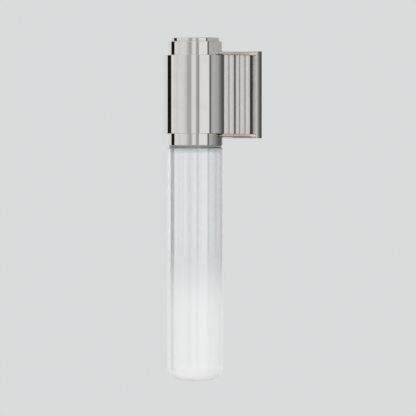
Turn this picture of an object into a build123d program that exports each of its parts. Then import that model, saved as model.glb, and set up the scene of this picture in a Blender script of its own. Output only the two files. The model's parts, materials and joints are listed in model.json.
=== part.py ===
from build123d import *
from math import cos, radians, sin
import os

# Wall sconce. Origin: centre of the backplate's back face.
# +X right as seen from the front, +Y towards the back, +Z up. Millimetres.

# Backplate and what fixes it to a wall box
plate_width = 105.0
plate_margin = 1.2
plate_depth = 11.5
plate_wall = 2.5
plate_edge_radius = 1.0
strap_width = 24.0
strap_thickness = 2.0
ear_gap = 0.2
ear_front_gap = 1.0
box_screw_spacing = 88.9
box_slot_width = 4.8
box_slot_length = 14.0
supply_hole_radius = 9.0
ground_screw_radius = 2.4
ground_screw_offset = 28.0
ground_head_across = 8.0
ground_head_height = 3.0
grub_radius = 2.0
grub_recess = 0.3

# Reeded bracket
axis_to_plate = 73.0
bracket_width = 90.0
nose_setback = 10.0
reed_count = 5
reed_height = 4.0
reed_gap = 0.5
spacer_thickness = 1.6
spacer_inset = 1.0
bracket_side_wall = 3.0
bracket_front_wall = 4.0
bracket_back_wall = 4.0
rim_overhang = 0.5
rim_thickness = 4.8
rim_setback = 4.0
rim_flat = 0.6
boss_radius = 4.5
boss_bite = 1.0
cap_screw_radius = 1.5
cap_screw_head_radius = 3.0
cap_screw_length = 14.0
cap_slot_length = 3.2
pilot_spare = 1.0
bolt_radius = 2.5
bolt_head_radius = 4.2
bolt_head_height = 3.0
bolt_socket_across = 4.0
bolt_socket_depth = 1.6
bolt_across = 60.0
bolt_inset = 9.0

# Metal cylinder
sleeve_step = 6.0
sleeve_height = 110.0
sleeve_wall = 2.0
sleeve_lip = 3.0
collar_radius = 38.0
collar_wall = 3.0
upper_collar_height = 19.0
lower_collar_height = 16.5
collar_end_wall = 3.0
edge_chamfer = 0.7
disc_inset = 4.3
disc_height = 5.2
disc_stud_radius = 4.0
disc_nut_across = 13.0
disc_nut_height = 6.5
stud_past_nut = 2.0
saddle_half_angle = 24.0
saddle_height = 78.0
clamp_screw_radius = 2.0
clamp_head_radius = 3.6
clamp_head_height = 2.6
clamp_screw_reach = 14.0
clamp_slot_length = 4.0
clamp_slot_depth = 1.2
clamp_apart = 44.0

# Light source
sink_top = 32.0
sink_bottom = -32.0
sink_base = 8.0
sink_core_radius = 9.0
sink_fin = 2.4
sink_web = 14.0
fin_count = 12
bare_arc = 80.0
board_radius = 20.0
board_thickness = 1.6
board_screw_gap = 2.5
board_screw_radius = 1.25
board_screw_head_radius = 2.4
board_screw_head_height = 1.6
board_screw_reach = 5.0
board_slot_length = 3.4
emitter_radius = 8.0
emitter_thickness = 1.2
reflector_throat = 9.4
mouth_inset = 6.0
reflector_wall = 1.2
reflector_flange = 1.5
lens_inset = 2.0
lens_thickness = 3.0
seal_thickness = 1.2
seal_width = 1.8

# Supply of the light source
driver_side_gap = 1.0
driver_front_gap = 4.95
driver_top = 26.0
driver_bottom = -34.0
driver_corner = 2.0
ear_length = 9.0
ear_thickness = 2.0
ear_margin = 2.5
driver_screw_radius = 1.5
driver_screw_head_radius = 2.8
driver_screw_head_height = 2.0
driver_screw_reach = 3.2
lead_radius = 1.75
lead_below_top = 10.0
lead_bend = 9.0
lead_side = 11.0
lead_drop = 19.0
bush_wall = 2.0
bush_flange = 1.5
bush_flange_lip = 2.0
bush_inner_gap = 1.0
supply_bush_bore = 4.0
supply_bush_x = 13.0
supply_bush_rise = 9.0

# Glass
glass_step = 1.1
glass_length = 329.5
glass_wall = 3.0
shoulder_radius = 4.0
foot_radius = 20.0
foot_dome_radius = 110.0
fitter_wall = 4.6
neck_height = 11.0
neck_end_gap = 0.4
gasket_thickness = 1.2
gasket_inset = 1.5

# Clearances
close_fit = 0.05
hole_fit = 0.15
turning_fit = 0.35
seat_gap = 0.1
screw_end_gap = 0.5

# Screw-driver slots, and how far a cutter runs past the face that it cuts
slot_width = 0.8
slot_depth = 0.8
over = 1.0

# Places that follow from the sizes above
plate_height = sleeve_height + 2 * (rim_thickness + plate_margin)
axis_y = -(plate_depth + axis_to_plate)
plate_front = -plate_depth
collar_bore = collar_radius - collar_wall
sleeve_radius = collar_radius + sleeve_step
disc_radius = collar_radius - disc_inset
glass_radius = collar_radius + glass_step
neck_radius = collar_bore - close_fit - fitter_wall - turning_fit
lens_radius = collar_bore - lens_inset
sleeve_top = sleeve_height / 2
sleeve_bottom = -sleeve_top
bolt_apart = sleeve_height - 2 * bolt_inset
lead_height = sleeve_top - lead_below_top
supply_bush_z = sleeve_bottom + supply_bush_rise
collar_top = sleeve_top + upper_collar_height
collar_bottom = sleeve_bottom - lower_collar_height
bracket_half = bracket_width / 2
rim_half = bracket_half + rim_overhang
rim_edge_radius = (rim_thickness - rim_flat) / 2
reeds_front = axis_y + nose_setback
reeds_back = plate_front - spacer_thickness
reed_pitch = (reeds_back - reeds_front) / reed_count
reed_root = bracket_half - reed_height
seat_radius = sleeve_radius + close_fit
front_wall_radius = seat_radius + bracket_front_wall
cavity_half = reed_root - bracket_side_wall
cavity_back = reeds_back - bracket_back_wall
cavity_depth = cavity_back - axis_y - front_wall_radius
driver_depth = cavity_depth - driver_front_gap
board_face = sink_bottom - board_thickness
ring_top = collar_bottom + neck_height + seal_thickness + neck_end_gap
lens_bottom = ring_top + seal_thickness
lens_top = lens_bottom + lens_thickness
gasket_top = collar_bottom - seat_gap
gasket_bottom = gasket_top - gasket_thickness
shoulder_top = gasket_bottom - seat_gap
glass_bottom = shoulder_top - glass_length
neck_top = shoulder_top + neck_height

LOW = (Align.CENTER, Align.CENTER, Align.MIN)


def on_axis(shape):
    return Pos(0, axis_y, 0) * shape


def rod(radius, low, high):
    return Pos(0, 0, low) * Cylinder(radius, high - low, align=LOW)


def ring(outer, inner, low, high):
    return rod(outer, low, high) - rod(inner, low - over, high + over)


def rod_y(radius, x, z, front, back):
    # A round bar along Y, from y = front to y = back
    bar = Cylinder(radius, back - front, align=LOW)
    return Pos(x, front, z) * Rot(-90, 0, 0) * bar


def block(x, y, z):
    # A box from its (low, high) pairs
    size = [pair[1] - pair[0] for pair in (x, y, z)]
    middle = [(pair[1] + pair[0]) / 2 for pair in (x, y, z)]
    return Pos(*middle) * Box(*size)


def hexagon(across, low, high):
    flat = RegularPolygon(across / 2, 6, major_radius=False)
    return Pos(0, 0, low) * extrude(flat, high - low)


def edges_at(shape, z):
    return shape.edges().filter_by_position(Axis.Z, z - 0.01, z + 0.01)


def round_edges_at(shape, z, radius):
    circles = [e for e in edges_at(shape, z) if e.geom_type == GeomType.CIRCLE]
    return [e for e in circles if abs(e.radius - radius) < 0.01]


# Screw places: (x, y or z) pairs shared by each screw and its holes
boss_inset = boss_radius - boss_bite
boss_back = cavity_back - boss_inset
boss_side = cavity_half - boss_inset
boss_front = axis_y + (front_wall_radius ** 2 - boss_side ** 2) ** 0.5 + boss_inset
driver_half = boss_side - boss_radius - driver_side_gap
board_screw_circle = reflector_throat + reflector_wall + board_screw_gap + board_screw_head_radius
boss_places = [(side * boss_side, y) for side in (-1, 1) for y in (boss_front, boss_back)]
bolt_places = [(side * bolt_across / 2, end * bolt_apart / 2) for side in (-1, 1) for end in (-1, 1)]
clamp_heights = (-clamp_apart / 2, clamp_apart / 2)
driver_screw_heights = (driver_bottom - ear_length / 2, driver_top + ear_length / 2)
tube_bush_radius = lead_radius + hole_fit + bush_wall
supply_bush_radius = supply_bush_bore + bush_wall


def make_wall_strap():
    ear_top = plate_height / 2 - plate_wall - ear_gap
    ear_reach = plate_depth - plate_wall - ear_front_gap
    half = strap_width / 2
    strap = block((-half, half), (-strap_thickness, 0), (-ear_top, ear_top))
    for end in (-1, 1):
        low, high = sorted((end * ear_top, end * (ear_top - strap_thickness)))
        strap += block((-half, half), (-ear_reach, 0), (low, high))
        strap -= Pos(0, -plate_depth / 2, 0) * rod(grub_radius + close_fit, low - over, high + over)
        slot = SlotOverall(box_slot_length, box_slot_width, rotation=90)
        slot = extrude(slot, 4 * strap_thickness, both=True)
        strap -= Pos(0, 0, end * box_screw_spacing / 2) * Rot(90, 0, 0) * slot
    front = -2 * strap_thickness
    strap -= rod_y(supply_hole_radius, 0, 0, front, strap_thickness)
    return strap - rod_y(ground_screw_radius + close_fit, 0, ground_screw_offset, front, strap_thickness)


def make_ground_screw():
    head = hexagon(ground_head_across, 0, ground_head_height)
    head = Pos(0, -strap_thickness, ground_screw_offset) * Rot(90, 0, 0) * head
    return head + rod_y(ground_screw_radius, 0, ground_screw_offset, -strap_thickness - over, 0)


def make_backplate():
    half_w = plate_width / 2
    half_h = plate_height / 2
    plate = block((-half_w, half_w), (plate_front, 0), (-half_h, half_h))
    plate = fillet(plate.faces().sort_by(Axis.Y)[0].edges(), plate_edge_radius)
    plate -= block(
        (-half_w + plate_wall, half_w - plate_wall),
        (plate_front + plate_wall, over),
        (-half_h + plate_wall, half_h - plate_wall),
    )
    for x, z in bolt_places:
        plate -= rod_y(bolt_radius + hole_fit, x, z, plate_front - over, 0)
    bush_hole = supply_bush_radius + close_fit
    plate -= rod_y(bush_hole, supply_bush_x, supply_bush_z, plate_front - over, 0)
    plate -= Pos(0, -plate_depth / 2, 0) * rod(grub_radius + close_fit, -plate_height, plate_height)
    return plate


def make_backplate_screws():
    # A slotted grub screw through each of the plate's top and bottom edges, into the strap's ears
    high = plate_height / 2 - grub_recess
    low = plate_height / 2 - plate_wall - ear_gap - strap_thickness
    grub = rod(grub_radius, low, high)
    grub -= Pos(0, 0, high) * Box(4 * grub_radius, slot_width, 2 * slot_depth)
    grub = Pos(0, -plate_depth / 2, 0) * grub
    return [grub, mirror(grub, Plane.XY)]


def make_supply_bush():
    back = plate_front + plate_wall
    bush = rod_y(supply_bush_radius, supply_bush_x, supply_bush_z, cavity_back, back)
    bush += rod_y(
        supply_bush_radius + bush_flange_lip, supply_bush_x, supply_bush_z, back, back + bush_flange
    )
    return bush - rod_y(supply_bush_bore, supply_bush_x, supply_bush_z, cavity_back - over, 0)


def reed_rows():
    # Half-round reeds: a row of circles down each side, which stand out of the bracket's core
    chord = reed_pitch - reed_gap
    radius = (chord ** 2 / 4 + reed_height ** 2) / (2 * reed_height)
    rows = Sketch()
    for index in range(reed_count):
        y = reeds_front + (index + 0.5) * reed_pitch
        rows += Pos(bracket_half - radius, y) * Circle(radius)
        rows += Pos(radius - bracket_half, y) * Circle(radius)
    return rows & rectangle((-bracket_half, bracket_half), (reeds_front, reeds_back))


def rectangle(x, y):
    return Pos((x[0] + x[1]) / 2, (y[0] + y[1]) / 2) * Rectangle(x[1] - x[0], y[1] - y[0])


def make_bracket_body():
    outline = rectangle((-reed_root, reed_root), (reeds_front, reeds_back)) + reed_rows()
    outline -= Pos(0, axis_y) * Circle(seat_radius)
    cavity = rectangle((-cavity_half, cavity_half), (reeds_front, cavity_back))
    cavity -= Pos(0, axis_y) * Circle(front_wall_radius)
    for x, y in boss_places:
        cavity -= Pos(x, y) * Circle(boss_radius)
        reach = boss_radius if x > 0 else -boss_radius
        cavity -= rectangle(sorted((x, x + reach)), (y - boss_bite, y + boss_bite))
    body = Pos(0, 0, sleeve_bottom) * extrude(outline - cavity, sleeve_height)
    pilot = cap_screw_length - rim_thickness + pilot_spare
    for x, y in boss_places:
        hole = rod(cap_screw_radius + close_fit, sleeve_top - pilot, sleeve_top + over)
        body -= Pos(x, y, 0) * hole
        body -= Pos(x, y, 0) * mirror(hole, Plane.XY)
    for x, z in bolt_places:
        body -= rod_y(bolt_radius + close_fit, x, z, cavity_back - over, 0)
    body -= rod_y(supply_bush_radius + close_fit, supply_bush_x, supply_bush_z, cavity_back - over, 0)
    thread_end = cavity_back + driver_screw_reach
    for z in driver_screw_heights:
        body -= rod_y(driver_screw_radius + close_fit, 0, z, cavity_back - over, thread_end)
    inside = axis_y + front_wall_radius + over
    for z in clamp_heights:
        body -= rod_y(clamp_screw_radius + hole_fit, 0, z, axis_y, inside)
    return body - rod_y(tube_bush_radius + hole_fit, lead_side, lead_height, axis_y, inside)


def make_rim():
    # Horseshoe plate over the top of the reeds, open round the collar
    outline = rectangle((-rim_half, rim_half), (axis_y + rim_setback, plate_front))
    outline -= Pos(0, axis_y) * Circle(collar_radius + hole_fit)
    rim = Pos(0, 0, sleeve_top) * extrude(outline, rim_thickness)
    top = sleeve_top + rim_thickness
    level = edges_at(rim, top) + edges_at(rim, sleeve_top)
    straight = [e for e in level if e.geom_type == GeomType.LINE]
    rim = fillet([e for e in straight if e.center().Y < plate_front - over], rim_edge_radius)
    for x, y in boss_places:
        rim -= Pos(x, y, 0) * rod(cap_screw_radius + hole_fit, sleeve_top - over, top + over)
        rim -= Pos(x, y, 0) * countersink(top, hole_fit)
    return rim


def countersink(top, room):
    sink = cap_screw_head_radius - cap_screw_radius
    cone = Cone(cap_screw_radius + room, cap_screw_head_radius + room, sink, align=LOW)
    return Pos(0, 0, top - sink) * cone


def make_cap_screws():
    top = sleeve_top + rim_thickness
    screw = rod(cap_screw_radius, top - cap_screw_length, top) + countersink(top, 0)
    slot = Box(cap_slot_length, slot_width, 2 * slot_depth)
    screw -= Pos(0, 0, top) * Rot(0, 0, 45) * slot
    screw -= Pos(0, 0, top) * Rot(0, 0, -45) * slot
    upper = [Pos(x, y, 0) * screw for x, y in boss_places]
    return upper + [mirror(one, Plane.XY) for one in upper]


def make_plate_spacer():
    # Black spacer that keeps the reeds off the plate
    half = bracket_half - spacer_inset
    spacer = block((-half, half), (reeds_back, plate_front), (sleeve_bottom, sleeve_top))
    for x, z in bolt_places:
        spacer -= rod_y(bolt_radius + hole_fit, x, z, reeds_back - over, 0)
    return spacer - rod_y(supply_bush_radius + close_fit, supply_bush_x, supply_bush_z, reeds_back - over, 0)


def make_bracket_bolts():
    seat = plate_front + plate_wall
    bolts = []
    for x, z in bolt_places:
        head = rod_y(bolt_head_radius, x, z, seat, seat + bolt_head_height)
        socket = hexagon(bolt_socket_across, -over, bolt_socket_depth)
        socket = Pos(x, seat + bolt_head_height, z) * Rot(90, 0, 0) * socket
        bolts.append(head + rod_y(bolt_radius, x, z, cavity_back + screw_end_gap, seat) - socket)
    return bolts


def make_sleeve():
    inner = sleeve_radius - sleeve_wall
    lip_bore = collar_radius + close_fit
    sleeve = rod(sleeve_radius, sleeve_bottom, sleeve_top)
    sleeve = chamfer(sleeve.edges().filter_by(GeomType.CIRCLE), edge_chamfer)
    sleeve -= rod(lip_bore, sleeve_bottom - over, sleeve_top + over)
    sleeve -= rod(inner, sleeve_bottom + sleeve_lip, sleeve_top - sleeve_lip)
    sleeve = on_axis(sleeve)
    outside = axis_y + sleeve_radius + over
    for z in clamp_heights:
        sleeve -= rod_y(clamp_screw_radius + hole_fit, 0, z, axis_y, outside)
    return sleeve - rod_y(tube_bush_radius + hole_fit, lead_side, lead_height, axis_y, outside)


def make_saddle_plate():
    # Curved packing between the sleeve and the holder tube, where the clamp screws pass
    half = saddle_height / 2
    shell = ring(sleeve_radius - sleeve_wall - close_fit, collar_radius + close_fit, -half, half)
    reach = 2 * sleeve_radius
    wedge = make_face(Polyline(
        (0, 0),
        (reach * sin(radians(saddle_half_angle)), reach * cos(radians(saddle_half_angle))),
        (-reach * sin(radians(saddle_half_angle)), reach * cos(radians(saddle_half_angle))),
        (0, 0),
    ))
    saddle = shell & (Pos(0, 0, -half) * extrude(wedge, saddle_height))
    saddle = on_axis(saddle)
    outside = axis_y + sleeve_radius
    for z in clamp_heights:
        saddle -= rod_y(clamp_screw_radius + hole_fit, 0, z, axis_y, outside)
    return saddle - rod_y(tube_bush_radius + hole_fit, lead_side, lead_height, axis_y, outside)


def make_clamp_screws():
    seat = axis_y + front_wall_radius
    tip = axis_y + collar_bore - clamp_screw_reach
    screws = []
    for z in clamp_heights:
        head = rod_y(clamp_head_radius, 0, z, seat, seat + clamp_head_height)
        screw = head + rod_y(clamp_screw_radius, 0, z, tip, seat)
        slot = Box(clamp_slot_length, 2 * clamp_slot_depth, slot_width)
        screws.append(screw - Pos(0, seat + clamp_head_height, z) * slot)
    return screws


def make_holder_tube():
    # A cup, open below: its ends show as the collars above and below the sleeve
    tube = rod(collar_radius, collar_bottom, collar_top)
    tube = chamfer(tube.edges().filter_by(GeomType.CIRCLE), edge_chamfer)
    tube -= rod(collar_bore, collar_bottom - over, collar_top - collar_end_wall)
    tube -= rod(disc_stud_radius + hole_fit, 0, collar_top + over)
    tube = on_axis(tube)
    outside = axis_y + collar_radius + over
    for z in clamp_heights:
        tube -= rod_y(clamp_screw_radius + hole_fit, 0, z, axis_y, outside)
    return tube - rod_y(tube_bush_radius + close_fit, lead_side, lead_height, axis_y, outside)


def make_top_cap():
    high = collar_top + disc_height
    cap = rod(disc_radius, collar_top, high)
    cap = chamfer(round_edges_at(cap, high, disc_radius), edge_chamfer)
    stud_end = collar_top - collar_end_wall - disc_nut_height - stud_past_nut
    return on_axis(cap + rod(disc_stud_radius, stud_end, collar_top))


def make_top_cap_nut():
    high = collar_top - collar_end_wall
    nut = hexagon(disc_nut_across, high - disc_nut_height, high)
    return on_axis(nut - rod(disc_stud_radius + close_fit, 0, collar_top))


def make_heat_sink():
    radius = collar_bore - close_fit
    sink = rod(radius, sink_bottom, sink_bottom + sink_base)
    sink += rod(sink_core_radius, sink_bottom, sink_top)
    fins = Sketch()
    for index in range(fin_count):
        angle = 360 / fin_count * index
        if abs(angle - 90) > bare_arc / 2:
            fins += Rot(0, 0, angle) * Pos(radius / 2, 0) * Rectangle(radius, sink_fin)
    fins += Pos(0, radius / 2) * Rectangle(sink_web, radius)
    fins = fins & Circle(radius)
    sink += Pos(0, 0, sink_bottom) * extrude(fins, sink_top - sink_bottom)
    lead_hole = rod(lead_radius + hole_fit, sink_bottom - over, sink_top + over)
    sink -= Pos(lead_side, lead_drop, 0) * lead_hole
    for side in (-1, 1):
        hole = rod(board_screw_radius + close_fit, sink_bottom - over, sink_bottom + board_screw_reach)
        sink -= Pos(side * board_screw_circle, 0, 0) * hole
    sink = on_axis(sink)
    tip = axis_y + collar_bore - clamp_screw_reach - screw_end_gap
    for z in clamp_heights:
        sink -= rod_y(clamp_screw_radius + close_fit, 0, z, tip, axis_y + collar_radius)
    return sink


def make_led_board():
    board = rod(board_radius, board_face, sink_bottom)
    for side in (-1, 1):
        hole = rod(board_screw_radius + hole_fit, board_face - over, sink_bottom + over)
        board -= Pos(side * board_screw_circle, 0, 0) * hole
    return on_axis(board)


def make_board_screws():
    low = board_face - board_screw_head_height
    screw = rod(board_screw_head_radius, low, board_face)
    screw += rod(board_screw_radius, board_face, sink_bottom + board_screw_reach)
    screw -= Pos(0, 0, low) * Box(board_slot_length, slot_width, 2 * slot_depth)
    return [on_axis(Pos(side * board_screw_circle, 0, 0) * screw) for side in (-1, 1)]


def make_led_emitter():
    return on_axis(rod(emitter_radius, board_face - emitter_thickness, board_face))


def make_reflector():
    # A thin bowl from the board's face down to the lens, with a flat flange on the lens
    mouth = lens_radius - mouth_inset
    flange = lens_radius - close_fit
    flange_top = lens_top + reflector_flange
    shell = mouth + reflector_wall
    with BuildSketch(Plane.XZ) as section:
        with BuildLine():
            inside = Spline(
                (reflector_throat, board_face),
                (mouth, lens_top),
                tangents=((0.35, -1), (0.25, -1)),
            )
            Line(inside @ 1, (flange, lens_top))
            Line((flange, lens_top), (flange, flange_top))
            Line((flange, flange_top), (shell, flange_top))
            outside = Spline(
                (shell, flange_top),
                (reflector_throat + reflector_wall, board_face),
                tangents=((-0.25, 1), (-0.35, 1)),
            )
            Line(outside @ 1, inside @ 0)
        make_face()
    return on_axis(revolve(section.sketch, Axis.Z))


def make_lens():
    return on_axis(rod(lens_radius, lens_bottom, lens_top))


def make_lens_seal():
    return on_axis(ring(lens_radius, lens_radius - seal_width, ring_top, lens_bottom))


def make_fitter_ring():
    outer = collar_bore - close_fit
    return on_axis(ring(outer, neck_radius + turning_fit, collar_bottom, ring_top))


def make_driver():
    front = cavity_back - driver_depth
    case = block((-driver_half, driver_half), (front, cavity_back), (driver_bottom, driver_top))
    case = fillet(case.edges().filter_by(Axis.Z), driver_corner)
    ear_half = driver_screw_head_radius + ear_margin
    ears = block(
        (-ear_half, ear_half),
        (cavity_back - ear_thickness, cavity_back),
        (driver_bottom - ear_length, driver_top + ear_length),
    )
    case += ears
    for z in driver_screw_heights:
        case -= rod_y(driver_screw_radius + hole_fit, 0, z, front, cavity_back + over)
    return case


def make_driver_screws():
    seat = cavity_back - ear_thickness
    screws = []
    for z in driver_screw_heights:
        head = rod_y(driver_screw_head_radius, 0, z, seat - driver_screw_head_height, seat)
        screws.append(head + rod_y(driver_screw_radius, 0, z, seat, cavity_back + driver_screw_reach))
    return screws


def make_led_lead():
    # Up out of the driver, forward through the bush, then down between the fins to the board
    start_y = cavity_back - driver_depth / 2
    drop_y = axis_y + lead_drop
    route = FilletPolyline(
        (lead_side, start_y, driver_top),
        (lead_side, start_y, lead_height),
        (lead_side, drop_y, lead_height),
        (lead_side, drop_y, sink_bottom),
        radius=lead_bend,
    )
    lead = sweep(Plane(route @ 0, z_dir=route % 0) * Circle(lead_radius), path=route)
    print("led_lead length", round(route.length, 1), "bend radius", lead_bend)
    return lead


def make_tube_bush():
    # Rubber bush that fills the holes through the bracket, the sleeve and the holder tube
    far_edge = lead_side + tube_bush_radius
    near_edge = lead_side - tube_bush_radius - bush_flange_lip
    inside = axis_y + ((collar_bore - bush_inner_gap) ** 2 - far_edge ** 2) ** 0.5
    outside = axis_y + (front_wall_radius ** 2 - near_edge ** 2) ** 0.5
    end = outside + bush_flange
    bush = rod_y(tube_bush_radius, lead_side, lead_height, inside, outside)
    bush += rod_y(tube_bush_radius + bush_flange_lip, lead_side, lead_height, outside, end)
    return bush - rod_y(lead_radius + close_fit, lead_side, lead_height, axis_y, end + over)


def make_glass_gasket():
    outer = collar_radius - gasket_inset
    return on_axis(ring(outer, neck_radius + turning_fit, gasket_bottom, gasket_top))


def glass_section(inset, top):
    # Half outline of the tube, moved in by inset: neck, round shoulder, side, round foot, flat dome
    outer = glass_radius - inset
    neck = neck_radius - inset
    shoulder = shoulder_top - inset
    corner = shoulder_radius - inset
    foot = foot_radius - inset
    dome = foot_dome_radius - inset
    low = glass_bottom + inset
    dome_centre = low + dome
    foot_x = outer - foot
    foot_z = dome_centre - ((dome - foot) ** 2 - foot_x ** 2) ** 0.5
    meet = Vector(foot_x, foot_z - dome_centre) * (dome / (dome - foot)) + Vector(0, dome_centre)
    half_way = meet.X / 2
    with BuildSketch(Plane.XZ) as section:
        with BuildLine():
            Line((0, top), (neck, top))
            Line((neck, top), (neck, shoulder))
            Line((neck, shoulder), (outer - corner, shoulder))
            TangentArc((outer - corner, shoulder), (outer, shoulder - corner), tangent=(1, 0))
            Line((outer, shoulder - corner), (outer, foot_z))
            TangentArc((outer, foot_z), (meet.X, meet.Y), tangent=(0, -1))
            ThreePointArc(
                (meet.X, meet.Y),
                (half_way, dome_centre - (dome ** 2 - half_way ** 2) ** 0.5),
                (0, low),
            )
            Line((0, low), (0, top))
        make_face()
    return section.sketch


def make_glass_tube():
    outside = revolve(glass_section(0, neck_top), Axis.Z)
    inside = revolve(glass_section(glass_wall, neck_top + over), Axis.Z)
    return on_axis(outside - inside)


top_rim = make_rim()
nodes = {
    "wall_strap": make_wall_strap(),
    "ground_screw": make_ground_screw(),
    "backplate": make_backplate(),
    "backplate_screws": make_backplate_screws(),
    "plate_bush": make_supply_bush(),
    "plate_spacer": make_plate_spacer(),
    "bracket_body": make_bracket_body(),
    "bracket_top_cap": top_rim,
    "bracket_bottom_cap": mirror(top_rim, Plane.XY),
    "cap_screws": make_cap_screws(),
    "bracket_bolts": make_bracket_bolts(),
    "sleeve": make_sleeve(),
    "saddle_plate": make_saddle_plate(),
    "clamp_screws": make_clamp_screws(),
    "holder_tube": make_holder_tube(),
    "top_cap": make_top_cap(),
    "top_cap_nut": make_top_cap_nut(),
    "heat_sink": make_heat_sink(),
    "led_board": make_led_board(),
    "board_screws": make_board_screws(),
    "led_emitter": make_led_emitter(),
    "reflector": make_reflector(),
    "lens": make_lens(),
    "lens_seal": make_lens_seal(),
    "fitter_ring": make_fitter_ring(),
    "driver": make_driver(),
    "driver_screws": make_driver_screws(),
    "led_lead": make_led_lead(),
    "tube_bush": make_tube_bush(),
    "glass_gasket": make_glass_gasket(),
    "glass_tube": make_glass_tube(),
}

os.makedirs("parts", exist_ok=True)
for name, shape in nodes.items():
    solid = Compound(children=shape) if isinstance(shape, list) else shape
    export_step(solid, f"parts/{name}.step")
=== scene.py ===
import json
import math

import bmesh
import bpy
from mathutils import Matrix, Vector


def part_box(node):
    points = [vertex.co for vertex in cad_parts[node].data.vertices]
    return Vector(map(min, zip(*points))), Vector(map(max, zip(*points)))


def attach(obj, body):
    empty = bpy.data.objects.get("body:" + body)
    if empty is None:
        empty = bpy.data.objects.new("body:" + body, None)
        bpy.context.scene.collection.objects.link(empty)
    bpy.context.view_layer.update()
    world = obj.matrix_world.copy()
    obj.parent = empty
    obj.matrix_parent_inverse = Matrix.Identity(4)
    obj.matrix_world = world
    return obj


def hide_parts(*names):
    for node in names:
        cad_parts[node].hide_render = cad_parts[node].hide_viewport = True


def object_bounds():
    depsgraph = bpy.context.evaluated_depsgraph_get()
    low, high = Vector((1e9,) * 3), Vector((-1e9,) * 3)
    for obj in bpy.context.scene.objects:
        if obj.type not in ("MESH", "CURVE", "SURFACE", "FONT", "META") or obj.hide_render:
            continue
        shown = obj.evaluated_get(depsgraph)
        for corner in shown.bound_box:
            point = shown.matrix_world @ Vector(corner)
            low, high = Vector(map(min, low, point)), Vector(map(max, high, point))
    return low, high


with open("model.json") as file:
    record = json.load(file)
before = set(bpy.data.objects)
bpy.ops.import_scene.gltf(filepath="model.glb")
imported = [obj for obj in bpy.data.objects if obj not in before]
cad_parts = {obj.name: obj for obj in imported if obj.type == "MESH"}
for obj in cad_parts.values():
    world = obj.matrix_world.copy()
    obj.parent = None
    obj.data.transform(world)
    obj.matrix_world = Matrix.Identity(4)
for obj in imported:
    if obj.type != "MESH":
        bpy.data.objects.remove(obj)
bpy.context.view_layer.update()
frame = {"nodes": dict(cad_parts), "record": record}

mm = 0.001
print("frame loaded:", len(frame["nodes"]), "nodes")


def boxOf(node):
    low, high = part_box(node)
    return Vector(low), Vector(high)


tubeLow, tubeHigh = boxOf("holder_tube")
sleeveLow, sleeveHigh = boxOf("sleeve")
glassLow, glassHigh = boxOf("glass_tube")
plateFront = boxOf("backplate")[0].y
axisX = (tubeLow.x + tubeHigh.x) / 2
axisY = (tubeLow.y + tubeHigh.y) / 2
tubeRadius = (tubeHigh.x - tubeLow.x) / 2
sleeveRadius = (sleeveHigh.x - sleeveLow.x) / 2


# socket maths: an expression on values adds its Math nodes

class Value:
    def __init__(self, shade, socket):
        self.shade = shade
        self.socket = socket

    def math(self, operation, *others):
        sockets = dict(enumerate((self, *others)))
        return self.shade.node("ShaderNodeMath", {"operation": operation}, sockets)

    def __add__(self, other):
        return self.math("ADD", other)

    def __mul__(self, other):
        return self.math("MULTIPLY", other)

    def __sub__(self, other):
        return self.math("SUBTRACT", other)

    def __rsub__(self, other):
        return self.shade.node("ShaderNodeMath", {"operation": "SUBTRACT"}, {0: other, 1: self})

    __radd__ = __add__
    __rmul__ = __mul__


class Shade:
    def __init__(self, tree):
        self.tree = tree
        tree.nodes.clear()

    def node(self, kind, settings=None, sockets=None, out=0):
        made = self.tree.nodes.new(kind)
        for key, setting in (settings or {}).items():
            if key == "stops":
                self.setStops(made.color_ramp, setting)
            else:
                setattr(made, key, setting)
        for key, value in (sockets or {}).items():
            if isinstance(value, Value):
                self.tree.links.new(value.socket, made.inputs[key])
            else:
                made.inputs[key].default_value = value
        return Value(self, made.outputs[out]) if made.outputs else made

    def setStops(self, ramp, stops):
        while len(ramp.elements) < len(stops):
            ramp.elements.new(0.5)
        for element, (place, grey) in zip(ramp.elements, stops):
            element.position = place
            element.color = (grey, grey, grey, 1)

    def mixColour(self, factor, first, second):
        return self.node("ShaderNodeMix", {"data_type": "RGBA"}, {0: factor, 6: first, 7: second}, out=2)

    def fade(self, value, low, high):
        # 0 below low, 1 above high, eased between
        sockets = {"Value": value, "From Min": low, "From Max": high}
        return self.node("ShaderNodeMapRange", {"interpolation_type": "SMOOTHSTEP"}, sockets)

    def place(self):
        return self.node("ShaderNodeTexCoord", out="Object")  # in metres, in the frame of the CAD

    def along(self, axis):
        return self.node("ShaderNodeSeparateXYZ", None, {"Vector": self.place()}, axis)

    def noise(self, scale, detail, stretch=(1, 1, 1)):
        # scale is in features per metre
        place = self.node("ShaderNodeMapping", None, {"Vector": self.place(), "Scale": stretch})
        return self.node("ShaderNodeTexNoise", None, {"Vector": place, "Scale": scale, "Detail": detail})

    def bump(self, height, strength, distance):
        sockets = {"Height": height, "Strength": strength, "Distance": distance}
        return self.node("ShaderNodeBump", None, sockets, "Normal")

    def principled(self, sockets):
        return self.node("ShaderNodeBsdfPrincipled", None, sockets)

    def surface(self, shader):
        owner = "World" if isinstance(self.tree.id_data, bpy.types.World) else "Material"
        self.node("ShaderNodeOutput" + owner, None, {"Surface": shader})


def newMaterial(name):
    material = bpy.data.materials.new(name)
    material.use_nodes = True
    return material, Shade(material.node_tree)


# finishes

# the darkest colour here is painted shade, laid on beside the parts the metal touches
nickelLook = {
    "colour": (0.695, 0.69, 0.672, 1), "tint": (0.655, 0.645, 0.615, 1), "paintedShade": (0.13, 0.128, 0.12, 1),
    "smudgeScale": 38.0, "smudgeDetail": 4.0, "smudgeFrom": 0.46, "smudgeTo": 0.72, "smudgeTint": 0.55,
    "smoothest": 0.022, "smudgeRough": 0.04, "lineRough": 0.02, "lineBump": 0.012, "paintedShadeEdge": 1.0 * mm,
}
lineLook = {"scale": 420.0, "detail": 2.0, "stretch": (1, 1, 0.02), "depth": 0.2 * mm}


def polishingLines(shade):
    return shade.noise(lineLook["scale"], lineLook["detail"], lineLook["stretch"])  # they run up and down


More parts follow.
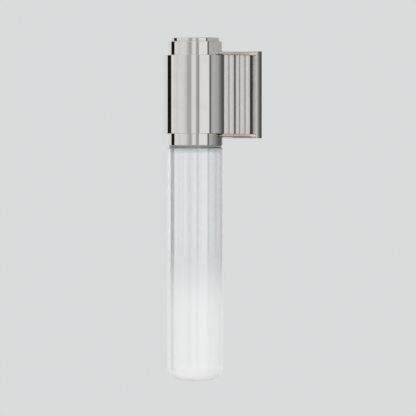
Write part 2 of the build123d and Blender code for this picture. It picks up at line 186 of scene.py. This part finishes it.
def polishedNickel(name, tone=nickelLook["colour"], joint=None, below=None):
    # a span of y darkens the metal with painted shade towards the part it is fixed to, in place of that
    # part's shadow and reflection with a height as well, only what lies lower gets that painted shade
    material, shade = newMaterial(name)
    look = nickelLook
    cloud = shade.noise(look["smudgeScale"], look["smudgeDetail"])
    smudge = shade.fade(cloud, look["smudgeFrom"], look["smudgeTo"])
    lines = polishingLines(shade)
    colour = shade.mixColour(look["smudgeTint"] * smudge, tone, look["tint"])
    if joint:
        # painted shade towards the part the metal is fixed to
        paintedShade = shade.fade(shade.along("Y"), *joint)
        if below is not None:
            paintedShade = paintedShade * (1 - shade.fade(shade.along("Z"), below, below + look["paintedShadeEdge"]))
        colour = shade.mixColour(paintedShade, colour, look["paintedShade"])
    shade.surface(shade.principled({
        "Base Color": colour, "Metallic": 1.0,
        "Roughness": look["smoothest"] + look["smudgeRough"] * smudge + look["lineRough"] * lines,
        "Normal": shade.bump(lines, look["lineBump"], lineLook["depth"]),
    }))
    return material


# deep and shallow bound the painted shade in the grooves, measured down from the reeds' crests
reedFinish = {
    "colour": (0.735, 0.73, 0.712, 1), "grooveShade": (0.13, 0.128, 0.12, 1), "metal": 0.45,
    "deep": 3.5 * mm, "shallow": 2.0 * mm, "rough": 0.4, "lineRough": 0.06, "lineBump": 0.02,
    "shadiestGroove": 2, "shadeReach": 6.0 * mm, "shadeRise": 1.35 * mm,  # the second groove gets the most painted shade
}


def reededNickelPaintedShade(crest, shadiestY):
    # satin on the reeds, with painted shade down in the grooves
    material, shade = newMaterial("reededNickelPaintedShade")
    look = reedFinish
    across = shade.along("X").math("ABSOLUTE")
    apart = (shade.along("Y") - shadiestY).math("ABSOLUTE")
    rise = look["shadeRise"] * (1 - shade.fade(apart, look["shadeReach"] / 2, look["shadeReach"]))
    grooveShade = 1 - shade.fade(across - rise, crest - look["deep"], crest - look["shallow"])
    lines = polishingLines(shade)
    shade.surface(shade.principled({
        "Base Color": shade.mixColour(grooveShade, look["colour"], look["grooveShade"]), "Metallic": look["metal"],
        "Roughness": look["rough"] + look["lineRough"] * lines,
        "Normal": shade.bump(lines, look["lineBump"], lineLook["depth"]),
    }))
    return material


metalGrain = {"detail": 5.0, "from": 0.35, "to": 0.7, "rough": 0.14, "bump": 0.12, "depth": 0.3 * mm}
plasticGrain = {"detail": 3.0, "from": 0.3, "to": 0.75, "rough": 0.1, "depth": 0.2 * mm}


def plainMetal(name, colour, dark, rough, scale):
    material, shade = newMaterial(name)
    grain = metalGrain
    specks = shade.noise(scale, grain["detail"])
    shade.surface(shade.principled({
        "Base Color": shade.mixColour(shade.fade(specks, grain["from"], grain["to"]), colour, dark),
        "Metallic": 1.0, "Roughness": rough + grain["rough"] * specks,
        "Normal": shade.bump(specks, grain["bump"], grain["depth"]),
    }))
    return material


def plainPlastic(name, colour, dark, rough, scale, bump=0.1):
    material, shade = newMaterial(name)
    grain = plasticGrain
    specks = shade.noise(scale, grain["detail"])
    shade.surface(shade.principled({
        "Base Color": shade.mixColour(shade.fade(specks, grain["from"], grain["to"]), colour, dark),
        "Roughness": rough + grain["rough"] * specks,
        "Normal": shade.bump(specks, bump, grain["depth"]),
    }))
    return material


sealLook = {
    "colour": (0.64, 0.65, 0.645, 1), "dark": (0.56, 0.57, 0.565, 1), "scale": 900.0, "detail": 2.0,
    "rough": 0.35, "grainRough": 0.2, "seeThrough": 0.25, "ior": 1.41,
    "paintedGlow": 0.05,  # painted glow that lightens the seal
}


def siliconeSeal():
    material, shade = newMaterial("clearSilicone")
    look = sealLook
    specks = shade.noise(look["scale"], look["detail"])
    tone = shade.mixColour(specks, look["colour"], look["dark"])
    shade.surface(shade.principled({
        "Base Color": tone, "Roughness": look["rough"] + look["grainRough"] * specks,
        "Transmission Weight": look["seeThrough"], "IOR": look["ior"],
        "Emission Color": tone, "Emission Strength": look["paintedGlow"],
    }))
    return material


phosphorLook = {
    "colour": (0.9, 0.66, 0.16, 1), "dark": (0.78, 0.5, 0.08, 1), "scale": 2500.0, "detail": 2.0,
    "rough": 0.4, "grainRough": 0.1,
}


def yellowPhosphor():
    material, shade = newMaterial("yellowPhosphor")
    look = phosphorLook
    specks = shade.noise(look["scale"], look["detail"])
    shade.surface(shade.principled({
        "Base Color": shade.mixColour(specks, look["colour"], look["dark"]),
        "Roughness": look["rough"] + look["grainRough"] * specks,
    }))
    return material


# heights are above the foot of the glass
tubeLook = {
    "clear": (0.965, 0.98, 0.99, 1), "shoulderShade": (0.7, 0.735, 0.74, 1), "frost": (0.9, 0.905, 0.91, 1),
    "shoulderShadeFrom": 318.4 * mm, "shoulderShadeTo": 326.9 * mm, "frostFull": 87.4 * mm, "frostEnd": 207.4 * mm,
    "ior": 1.5, "haze": 0.06, "dotsPerMetre": 4500.0,
    "frostRough": 0.5, "dotRough": 0.12, "frostSeeThrough": 0.25,
    "frostLustre": 1.8, "frostGloss": 0.03, "sheenRough": 0.5, "clearLustre": 2.0, "clearGloss": 0.02,
    "clearRough": 0.01, "streakRough": 0.02, "streakBump": 0.03, "streakDepth": 0.6 * mm,
    "streakScale": 60.0, "streakDetail": 3.0, "streakStretch": (1, 1, 0.05),
    # the glows are painted light: the frost glows by itself, brighter where it is thin and at the foot
    "paintedGlow": 0.1, "thinGlow": (1.75, 1.75, 1.74, 1), "fullGlow": (1.0, 0.995, 0.99, 1),
    "footGlow": (1.6, 1.595, 1.59, 1), "footFrom": 28.4 * mm, "footFull": 2.4 * mm,
}


def tubeGlass():
    # clear above, etched white below: fine etched dots that crowd together downwards
    material, shade = newMaterial("tubeGlass")
    look = tubeLook
    height = shade.along("Z") - glassLow.z
    streaks = shade.noise(look["streakScale"], look["streakDetail"], look["streakStretch"])
    sockets = {0: shade.place(), "Scale": look["dotsPerMetre"]}
    cell = shade.node("ShaderNodeVectorMath", {"operation": "SCALE"}, sockets)
    cell = shade.node("ShaderNodeVectorMath", {"operation": "FLOOR"}, {0: cell})
    dots = shade.node("ShaderNodeTexWhiteNoise", None, {"Vector": cell})
    frost = 1 - shade.fade(height, look["frostFull"], look["frostEnd"])
    etched = dots.math("LESS_THAN", look["haze"] + (1 - look["haze"]) * frost)
    shoulderShade = shade.fade(height, look["shoulderShadeFrom"], look["shoulderShadeTo"])  # painted shade: the clear glass greys at the shoulder under the collar
    clear = shade.principled({
        "Base Color": shade.mixColour(shoulderShade, look["clear"], look["shoulderShade"]),
        "Roughness": look["clearRough"] + look["streakRough"] * streaks,
        "Transmission Weight": 1.0, "IOR": look["ior"],
        "Coat Weight": 1.0, "Coat Roughness": look["clearGloss"], "Coat IOR": look["clearLustre"],
        "Normal": shade.bump(streaks, look["streakBump"], look["streakDepth"]),
    })
    # painted light: the white glows by itself, stronger where the frost thins and at the foot
    foot = 1 - shade.fade(height, look["footFull"], look["footFrom"])  # painted glow, brighter at the closed foot
    paintedGlow = shade.mixColour(frost, look["thinGlow"], look["fullGlow"])
    white = shade.principled({
        "Base Color": look["frost"], "Roughness": look["frostRough"] + look["dotRough"] * dots,
        "Transmission Weight": look["frostSeeThrough"], "IOR": look["ior"],
        "Coat Weight": 1.0, "Coat Roughness": look["frostGloss"], "Coat IOR": look["frostLustre"],
        "Sheen Weight": 1.0, "Sheen Roughness": look["sheenRough"],
        "Emission Color": shade.mixColour(foot, paintedGlow, look["footGlow"]), "Emission Strength": look["paintedGlow"],
    })
    shade.surface(shade.node("ShaderNodeMixShader", None, {0: etched, 1: clear, 2: white}))
    return material


# slot: (name, colour, darker colour, roughness, grains per metre)
metalLooks = {
    "zinc_steel": ("zincSteel", (0.66, 0.67, 0.69, 1), (0.54, 0.55, 0.56, 1), 0.26, 700.0),
    "bare_aluminium": ("bareAluminium", (0.75, 0.76, 0.77, 1), (0.62, 0.63, 0.64, 1), 0.3, 900.0),
    "bright_reflector": ("brightReflector", (0.9, 0.9, 0.91, 1), (0.84, 0.84, 0.85, 1), 0.06, 300.0),
}
# the same, and a bump strength where it isn't the usual one
plasticLooks = {
    "green_screw": ("greenPaint", (0.05, 0.3, 0.1, 1), (0.03, 0.2, 0.06, 1), 0.35, 600.0),
    "black_rubber": ("blackRubber", (0.03, 0.03, 0.03, 1), (0.055, 0.055, 0.055, 1), 0.6, 1200.0, 0.3),
    "black_spacer": ("blackSpacer", (0.035, 0.035, 0.034, 1), (0.05, 0.05, 0.047, 1), 0.7, 500.0),
    "white_board": ("whiteBoard", (0.88, 0.88, 0.86, 1), (0.8, 0.8, 0.78, 1), 0.4, 800.0),
    "lens_plastic": ("lensPlastic", (0.92, 0.92, 0.92, 1), (0.88, 0.88, 0.88, 1), 0.3, 500.0),
    "driver_case": ("driverCase", (0.82, 0.82, 0.8, 1), (0.74, 0.74, 0.72, 1), 0.5, 1500.0, 0.25),
    "white_cable": ("whiteCable", (0.8, 0.8, 0.78, 1), (0.7, 0.7, 0.68, 1), 0.4, 700.0),
}
finishes = {
    "polished_nickel": polishedNickel("polishedNickel"), "clear_silicone": siliconeSeal(),
    "yellow_phosphor": yellowPhosphor(), "tube_glass": tubeGlass(),
}
finishes.update({slot: plainMetal(*look) for slot, look in metalLooks.items()})
finishes.update({slot: plainPlastic(*look) for slot, look in plasticLooks.items()})

# painted reflection and shade: the plate is paler than the cylinder to brighten what it mirrors, and painted
# shade darkens it backwards from just before its front face
plateLook = {"tone": (0.82, 0.815, 0.795, 1), "paintedShadeFrom": -1.0 * mm, "paintedShadeTo": 8.0 * mm}
# painted reflection: the rims are tinted warm and pale in place of the warm light they mirror
rimLook = {"tone": (0.85, 0.825, 0.76, 1)}


def dress(node, material):
    for slot in frame["nodes"][node].material_slots:
        slot.material = material


def dressNodes():
    for part in frame["record"]["subparts"]:
        dress(part["node"], finishes[part["material_slot"]])
    joint = (plateFront + plateLook["paintedShadeFrom"], plateFront + plateLook["paintedShadeTo"])
    dress("backplate", polishedNickel("plateNickelPaintedShade", plateLook["tone"], joint))
    rimNickelPaintedWarmth = polishedNickel("rimNickelPaintedWarmth", rimLook["tone"])
    dress("bracket_top_cap", rimNickelPaintedWarmth)
    dress("bracket_bottom_cap", rimNickelPaintedWarmth)


dressNodes()
print("finishes made:", len(finishes))


# turned and extruded pieces, all in metres and in the frame of the CAD

def roundCorners(corners, steps=5, closed=True):
    # corners are (u, v, radius); each becomes an arc with a guard point just past both ends
    guardShare = 0.25
    points = []
    count = len(corners)
    for index, (u, v, radius) in enumerate(corners):
        here = Vector((u, v))
        if radius == 0 or (not closed and index in (0, count - 1)):
            points.append(here)
            continue
        before = (Vector(corners[index - 1][:2]) - here).normalized()
        after = (Vector(corners[(index + 1) % count][:2]) - here).normalized()
        half = before.angle(after) / 2
        reach = radius / math.tan(half)
        centre = here + (before + after).normalized() * (radius / math.sin(half))
        first = here + before * reach
        last = here + after * reach
        guard = guardShare * radius
        points.append(first + before * guard)
        spin = (first - centre).angle_signed(last - centre)
        for step in range(steps + 1):
            points.append(centre + Matrix.Rotation(-spin * step / steps, 2) @ (first - centre))
        points.append(last + after * guard)
    return points


def finishMesh(name, bm, material, angle=40):
    bmesh.ops.recalc_face_normals(bm, faces=bm.faces)
    mesh = bpy.data.meshes.new(name)
    bm.to_mesh(mesh)
    bm.free()
    mesh.polygons.foreach_set("use_smooth", [True] * len(mesh.polygons))
    mesh.set_sharp_from_angle(angle=math.radians(angle))
    mesh.materials.append(material)
    piece = bpy.data.objects.new(name, mesh)
    bpy.context.collection.objects.link(piece)
    return piece


def turned(name, profile, material, segments, angle=40):
    # revolve a closed line of (radius, z) points about the lamp's axis; points on the axis become poles
    onAxis = 0.001 * mm
    turns = [2 * math.pi * k / segments for k in range(segments)]
    bm = bmesh.new()
    rings = []
    for radius, z in profile:
        ring = [(0, 0)]
        if radius > onAxis:
            ring = [(radius * math.cos(turn), radius * math.sin(turn)) for turn in turns]
        rings.append([bm.verts.new((axisX + x, axisY + y, z)) for x, y in ring])
    for upper, lower in zip(rings, rings[1:] + rings[:1]):
        for k in range(segments):
            n = (k + 1) % segments
            corners = [upper[k % len(upper)], upper[n % len(upper)]]
            corners += [lower[n % len(lower)], lower[k % len(lower)]]
            unique = list(dict.fromkeys(corners))
            if len(unique) > 2:
                bm.faces.new(unique)
    return finishMesh(name, bm, material, angle)


def extruded(name, loops, low, high, material, angle):
    # loops of (x, y): the first is the outline and the others are holes
    bm = bmesh.new()
    edges = []
    for loop in loops:
        verts = [bm.verts.new((x, y, low)) for x, y in loop]
        edges += [bm.edges.new((verts[k - 1], verts[k])) for k in range(len(verts))]
    bmesh.ops.triangle_fill(bm, use_beauty=True, use_dissolve=True, edges=edges)
    lifted = bmesh.ops.extrude_face_region(bm, geom=list(bm.faces))["geom"]
    lifted = [item for item in lifted if isinstance(item, bmesh.types.BMVert)]
    bmesh.ops.translate(bm, verts=lifted, vec=(0, 0, high - low))
    return finishMesh(name, bm, material, angle)


def standsFor(piece, body, node):
    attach(piece, body)
    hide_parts(node)


metalSegments = 256

sleeveLook = {
    "edge": 0.7 * mm, "wall": 2.0 * mm, "lip": 3.0 * mm, "fit": 0.05 * mm,
    "paintedShadeFrom": -9.0 * mm, "paintedShadeTo": 7.0 * mm,  # about the axis: painted shade where it goes into the bracket
}


def makeSleeve():
    look = sleeveLook
    low, high = sleeveLow.z, sleeveHigh.z
    bore = tubeRadius + look["fit"]
    inner = sleeveRadius - look["wall"]
    corners = [
        (sleeveRadius, high, look["edge"]), (sleeveRadius, low, look["edge"]),
        (bore, low, 0), (bore, low + look["lip"], 0), (inner, low + look["lip"], 0),
        (inner, high - look["lip"], 0), (bore, high - look["lip"], 0), (bore, high, 0),
    ]
    joint = (axisY + look["paintedShadeFrom"], axisY + look["paintedShadeTo"])
    metal = polishedNickel("sleeveNickelPaintedShade", joint=joint)
    piece = turned("outerSleeve", roundCorners(corners), metal, metalSegments)
    standsFor(piece, "fixture", "sleeve")


collarLook = {
    "edge": 0.7 * mm, "innerEdge": 0.3 * mm, "wall": 3.0 * mm,
    "paintedShadeFrom": -16.0 * mm, "paintedShadeTo": 10.0 * mm,  # about the axis, and only below the sleeve: painted shade from the bracket and rim
}


def makeHolderTube():
    look = collarLook
    low, high = tubeLow.z, tubeHigh.z
    inner = tubeRadius - look["wall"]
    corners = [
        (0, high, 0), (tubeRadius, high, look["edge"]), (tubeRadius, low, look["edge"]),
        (inner, low, look["innerEdge"]), (inner, high - look["wall"], 0), (0, high - look["wall"], 0),
    ]
    joint = (axisY + look["paintedShadeFrom"], axisY + look["paintedShadeTo"])
    metal = polishedNickel("collarNickelPaintedShade", joint=joint, below=sleeveLow.z)
    piece = turned("holderTube", roundCorners(corners), metal, metalSegments)
    standsFor(piece, "fixture", "holder_tube")


discLook = {"edge": 0.8 * mm, "lowerEdge": 0.2 * mm, "shadowGap": 0.5 * mm, "gapDepth": 0.9 * mm}


def makeTopDisc():
    look = discLook
    low, high = boxOf("top_cap")
    outer = (high.x - low.x) / 2
    inner = outer - look["gapDepth"]
    foot = tubeHigh.z
    rim = foot + look["shadowGap"]
    corners = [
        (0, high.z, 0), (outer, high.z, look["edge"]), (outer, rim, look["lowerEdge"]),
        (inner, rim, 0), (inner, foot, 0), (0, foot, 0),
    ]
    piece = turned("topDisc", roundCorners(corners), finishes["polished_nickel"], metalSegments)
    standsFor(piece, "fixture", "top_cap")


glassLook = {
    "wall": 3.0 * mm, "neck": 30.0 * mm, "neckFillet": 0.6 * mm, "innerFillet": 2.0 * mm, "lip": 1.2 * mm,
    "seatGap": 0.1 * mm, "shoulder": 4.0 * mm, "foot": 20.0 * mm, "dome": 110.0 * mm,
    "sideEnd": 8.0 * mm, "guard": 1.0 * mm, "cornerSteps": 10, "footSteps": 14, "segments": 192, "sharp": 60,
}


def footArcs(outer, low, foot, dome):
    # from the straight side round the foot and over the shallow dome to the axis
    steps = glassLook["footSteps"]
    domeCentre = low + dome
    footX = outer - foot
    footZ = domeCentre - math.sqrt((dome - foot) ** 2 - footX ** 2)
    meet = math.atan2(footX, domeCentre - footZ)
    points = [(outer, footZ + glassLook["guard"])]
    for step in range(steps + 1):
        turn = (math.pi / 2 - meet) * step / steps
        points.append((footX + foot * math.cos(turn), footZ - foot * math.sin(turn)))
    for step in range(1, steps + 1):
        turn = meet * (1 - step / steps)
        points.append((dome * math.sin(turn), domeCentre - dome * math.cos(turn)))
    return points


def makeGlassTube():
    look = glassLook
    wall, neck, lip = look["wall"], look["neck"], look["lip"]
    outer = (glassHigh.x - glassLow.x) / 2
    low, top = glassLow.z, glassHigh.z
    shoulderZ = boxOf("glass_gasket")[0].z - look["seatGap"]
    sideZ = low + look["foot"] + look["sideEnd"]
    outside = roundCorners([
        (neck - wall, top, 0), (neck, top, lip), (neck, shoulderZ, look["neckFillet"]),
        (outer, shoulderZ, look["shoulder"]), (outer, sideZ, 0),
    ], look["cornerSteps"], False)[1:]
    inside = roundCorners([
        (outer - wall, sideZ, 0), (outer - wall, shoulderZ - wall, look["shoulder"] - wall),
        (neck - wall, shoulderZ - wall, look["innerFillet"]), (neck - wall, top, lip), (neck, top, 0),
    ], look["cornerSteps"], False)[:-1]
    outerFoot = footArcs(outer, low, look["foot"], look["dome"])
    innerFoot = footArcs(outer - wall, low + wall, look["foot"] - wall, look["dome"] - wall)
    profile = [tuple(p) for p in outside] + outerFoot + innerFoot[::-1] + [tuple(p) for p in inside]
    piece = turned("glassTube", profile, finishes["tube_glass"], look["segments"], look["sharp"])
    standsFor(piece, "glass", "glass_tube")


reededLook = {
    "count": 5, "height": 4.0 * mm, "gap": 0.5 * mm, "noseSetback": 10.0 * mm, "fit": 0.05 * mm,
    "sideWall": 3.0 * mm, "frontWall": 4.0 * mm, "backWall": 4.0 * mm,
    "reedSteps": 26, "seatSteps": 60, "cavitySteps": 40, "sharp": 25,
}


def arcPoints(radius, spread, steps):
    # round the lamp's axis on the plate's side, from -spread to spread
    turns = [spread * (2 * k / steps - 1) for k in range(steps + 1)]
    return [(radius * math.sin(turn), axisY + radius * math.cos(turn)) for turn in turns]


def reedSide(half, front, pitch, seat):
    # (x, y) points down the right-hand side, from where the first reed leaves the sleeve's seat
    look = reededLook
    chord = pitch - look["gap"]
    radius = (chord ** 2 / 4 + look["height"] ** 2) / (2 * look["height"])
    sweep = math.asin(chord / 2 / radius)
    points = []
    for index in range(look["count"]):
        middle = front + (index + 0.5) * pitch
        for step in range(look["reedSteps"] + 1):
            turn = sweep * (2 * step / look["reedSteps"] - 1)
            points.append((half - radius * (1 - math.cos(turn)), middle + radius * math.sin(turn)))
    clear = [math.hypot(x, y - axisY) - seat for x, y in points]
    first = next(k for k, room in enumerate(clear) if room > 0)
    share = clear[first] / (clear[first] - clear[first - 1])
    onSeat = Vector(points[first]).lerp(Vector(points[first - 1]), share)
    return [tuple(onSeat)] + points[first:]


def makeReededBracket():
    look = reededLook
    low, high = boxOf("bracket_body")
    half = (high.x - low.x) / 2
    seat = sleeveRadius + look["fit"]
    rootX = half - look["height"]
    front = axisY + look["noseSetback"]
    pitch = (high.y - front) / look["count"]
    side = reedSide(half, front, pitch, seat)
    right = side + [(rootX, high.y)]
    left = [(-x, y) for x, y in reversed(right)]
    spread = math.atan2(side[0][0], side[0][1] - axisY)
    outline = right + left + arcPoints(seat, spread, look["seatSteps"])[1:-1]
    cavityX = rootX - look["sideWall"]
    cavityBack = high.y - look["backWall"]
    cavityFront = seat + look["frontWall"]
    cavity = [(cavityX, cavityBack), (-cavityX, cavityBack)]
    cavity += arcPoints(cavityFront, math.asin(cavityX / cavityFront), look["cavitySteps"])
    loops = [[(x + axisX, y) for x, y in loop] for loop in (outline, cavity)]
    metal = reededNickelPaintedShade(half, front + reedFinish["shadiestGroove"] * pitch)
    piece = extruded("reededBracket", loops, low.z, high.z, metal, look["sharp"])
    standsFor(piece, "fixture", "bracket_body")


gasketLook = {"round": 0.4 * mm, "turningFit": 0.35 * mm, "segments": 128}


def makeGasket():
    look = gasketLook
    low, high = boxOf("glass_gasket")
    outer = (high.x - low.x) / 2
    inner = glassLook["neck"] + look["turningFit"]
    edge = look["round"]
    corners = [(outer, high.z, edge), (outer, low.z, edge), (inner, low.z, edge), (inner, high.z, edge)]
    piece = turned("glassGasket", roundCorners(corners), finishes["clear_silicone"], look["segments"])
    standsFor(piece, "gasket", "glass_gasket")


makeSleeve()
makeHolderTube()
makeTopDisc()
makeReededBracket()
makeGasket()
makeGlassTube()
print("pieces made")


# studio: a pale floor well below the light, pale surroundings for the metal to mirror, one soft lamp

floorLook = {
    "drop": 6.0, "radius": 60.0, "segments": 96,
    "colour": (0.88, 0.885, 0.89, 1), "dark": (0.865, 0.87, 0.875, 1),
    "scale": 4.0, "detail": 4.0, "rough": 0.8, "lift": 0.04,
}


def makeFloor():
    look = floorLook
    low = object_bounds()[0]
    bm = bmesh.new()
    bmesh.ops.create_circle(bm, cap_ends=True, radius=look["radius"], segments=look["segments"])
    bmesh.ops.translate(bm, verts=bm.verts, vec=(0, 0, low.z - look["drop"]))
    material, shade = newMaterial("paleFloor")
    tone = shade.mixColour(shade.noise(look["scale"], look["detail"]), look["colour"], look["dark"])
    shade.surface(shade.principled({
        "Base Color": tone, "Roughness": look["rough"],
        "Emission Color": tone, "Emission Strength": look["lift"],
    }))
    floor = finishMesh("floor", bm, material)
    floor.visible_glossy = False  # the metal mirrors the tone set below it in the surroundings instead


# (degrees from straight ahead, brightness): what the mirror metal sees all round
roomBands = [
    (-180, 0.45), (-165, 0.7), (-120, 0.8), (-86, 0.95), (-84, 0.01), (-62, 0.01), (-60, 0.96), (-50, 0.93),
    (-32, 0.83), (-22, 0.92), (-3, 0.87), (8, 0.62), (13, 0.5), (21, 0.5), (27, 0.92), (38, 0.97),
    (43, 0.5), (49, 0.42), (52, 0.45), (55, 0.98), (89, 1.0), (93, 0.16), (97, 0.16), (101, 0.58),
    (111, 0.56), (122, 0.55), (142, 0.54), (156, 0.52), (171, 0.5), (180, 0.5),
]
# the bands give way to the tones above and below between two slopes
# the front tones give way to the back ones between two depths
roomLook = {
    "backdrop": (0.7, 0.705, 0.71, 1), "frontAbove": (0.8, 0.8, 0.8, 1), "backAbove": (0.4, 0.4, 0.39, 1),
    "frontBelow": (0.66, 0.63, 0.58, 1), "backBelow": (0.24, 0.2, 0.14, 1),
    "softLight": (0.78, 0.78, 0.78, 1), "strength": 1.0,
    "slopeFrom": 0.15, "slopeTo": 0.5, "backFrom": -0.1, "backTo": 0.3,
}


def makeRoom():
    look = roomLook
    world = bpy.data.worlds.new("paleRoom")
    world.use_nodes = True
    bpy.context.scene.world = world
    shade = Shade(world.node_tree)
    way = shade.node("ShaderNodeTexCoord", out="Generated")
    x, y, z = [shade.node("ShaderNodeSeparateXYZ", None, {"Vector": way}, axis) for axis in "XYZ"]
    round01 = x.math("ARCTAN2", y * -1.0) * (0.5 / math.pi) + 0.5
    stops = [((angle + 180) / 360, grey) for angle, grey in roomBands]
    bands = shade.node("ShaderNodeValToRGB", {"stops": stops}, {"Fac": round01})
    behind = shade.fade(y, look["backFrom"], look["backTo"])  # dimmer behind than in front
    upper = shade.mixColour(behind, look["frontAbove"], look["backAbove"])
    lower = shade.mixColour(behind, look["frontBelow"], look["backBelow"])
    room = shade.mixColour(shade.fade(z, look["slopeFrom"], look["slopeTo"]), bands, upper)
    room = shade.mixColour(shade.fade(z * -1.0, look["slopeFrom"], look["slopeTo"]), room, lower)
    matt = shade.node("ShaderNodeLightPath", out="Is Diffuse Ray")
    room = shade.mixColour(matt, room, look["softLight"])  # matt things get even light from all round
    seen = shade.node("ShaderNodeLightPath", out="Is Camera Ray")
    room = shade.mixColour(seen, room, look["backdrop"])
    shade.surface(shade.node("ShaderNodeBackground", None, {"Color": room, "Strength": look["strength"]}))


lampLook = {"place": (1.5, -1.3, 0.8), "aim": (0, -0.1, -0.15), "size": 1.4, "power": 9.0}


def makeLamp():
    lamp = bpy.data.lights.new("softKey", "AREA")
    lamp.energy = lampLook["power"]
    lamp.size = lampLook["size"]
    holder = bpy.data.objects.new("softKey", lamp)
    holder.location = lampLook["place"]
    way = Vector(lampLook["aim"]) - Vector(lampLook["place"])
    holder.rotation_euler = way.to_track_quat("-Z", "Y").to_euler()
    holder.visible_glossy = False
    bpy.context.collection.objects.link(holder)


# photograph's frame: 416 pixels square
cameraLook = {
    "azimuth": 38.0, "elevation": 0.4, "distance": 8.0, "farthest": 150.0, "sensor": 36.0,
    "mmPerPixel": 1.40, "pixels": 416, "axisPixelX": 195.25, "middlePixelY": 94.5,
}


def makeCamera():
    look = cameraLook
    turn, lift = math.radians(look["azimuth"]), math.radians(look["elevation"])
    back = Vector((math.sin(turn) * math.cos(lift), -math.cos(turn) * math.cos(lift), math.sin(lift)))
    right = Vector((math.cos(turn), math.sin(turn), 0))
    scale = look["mmPerPixel"] * mm
    aim = Vector((axisX, axisY, 0))
    aim += right * (look["pixels"] / 2 - look["axisPixelX"]) * scale
    aim.z -= (look["pixels"] / 2 - look["middlePixelY"]) * scale
    data = bpy.data.cameras.new("photoView")
    data.sensor_width = look["sensor"]
    data.lens = look["sensor"] * look["distance"] / (look["pixels"] * scale)
    data.clip_end = look["farthest"]
    camera = bpy.data.objects.new("photoView", data)
    camera.location = aim + back * look["distance"]
    camera.rotation_euler = (-back).to_track_quat("-Z", "Y").to_euler()
    bpy.context.collection.objects.link(camera)
    bpy.context.scene.camera = camera


makeFloor()
makeRoom()
makeLamp()
makeCamera()
bpy.context.scene.view_settings.view_transform = "Standard"
print("studio made")
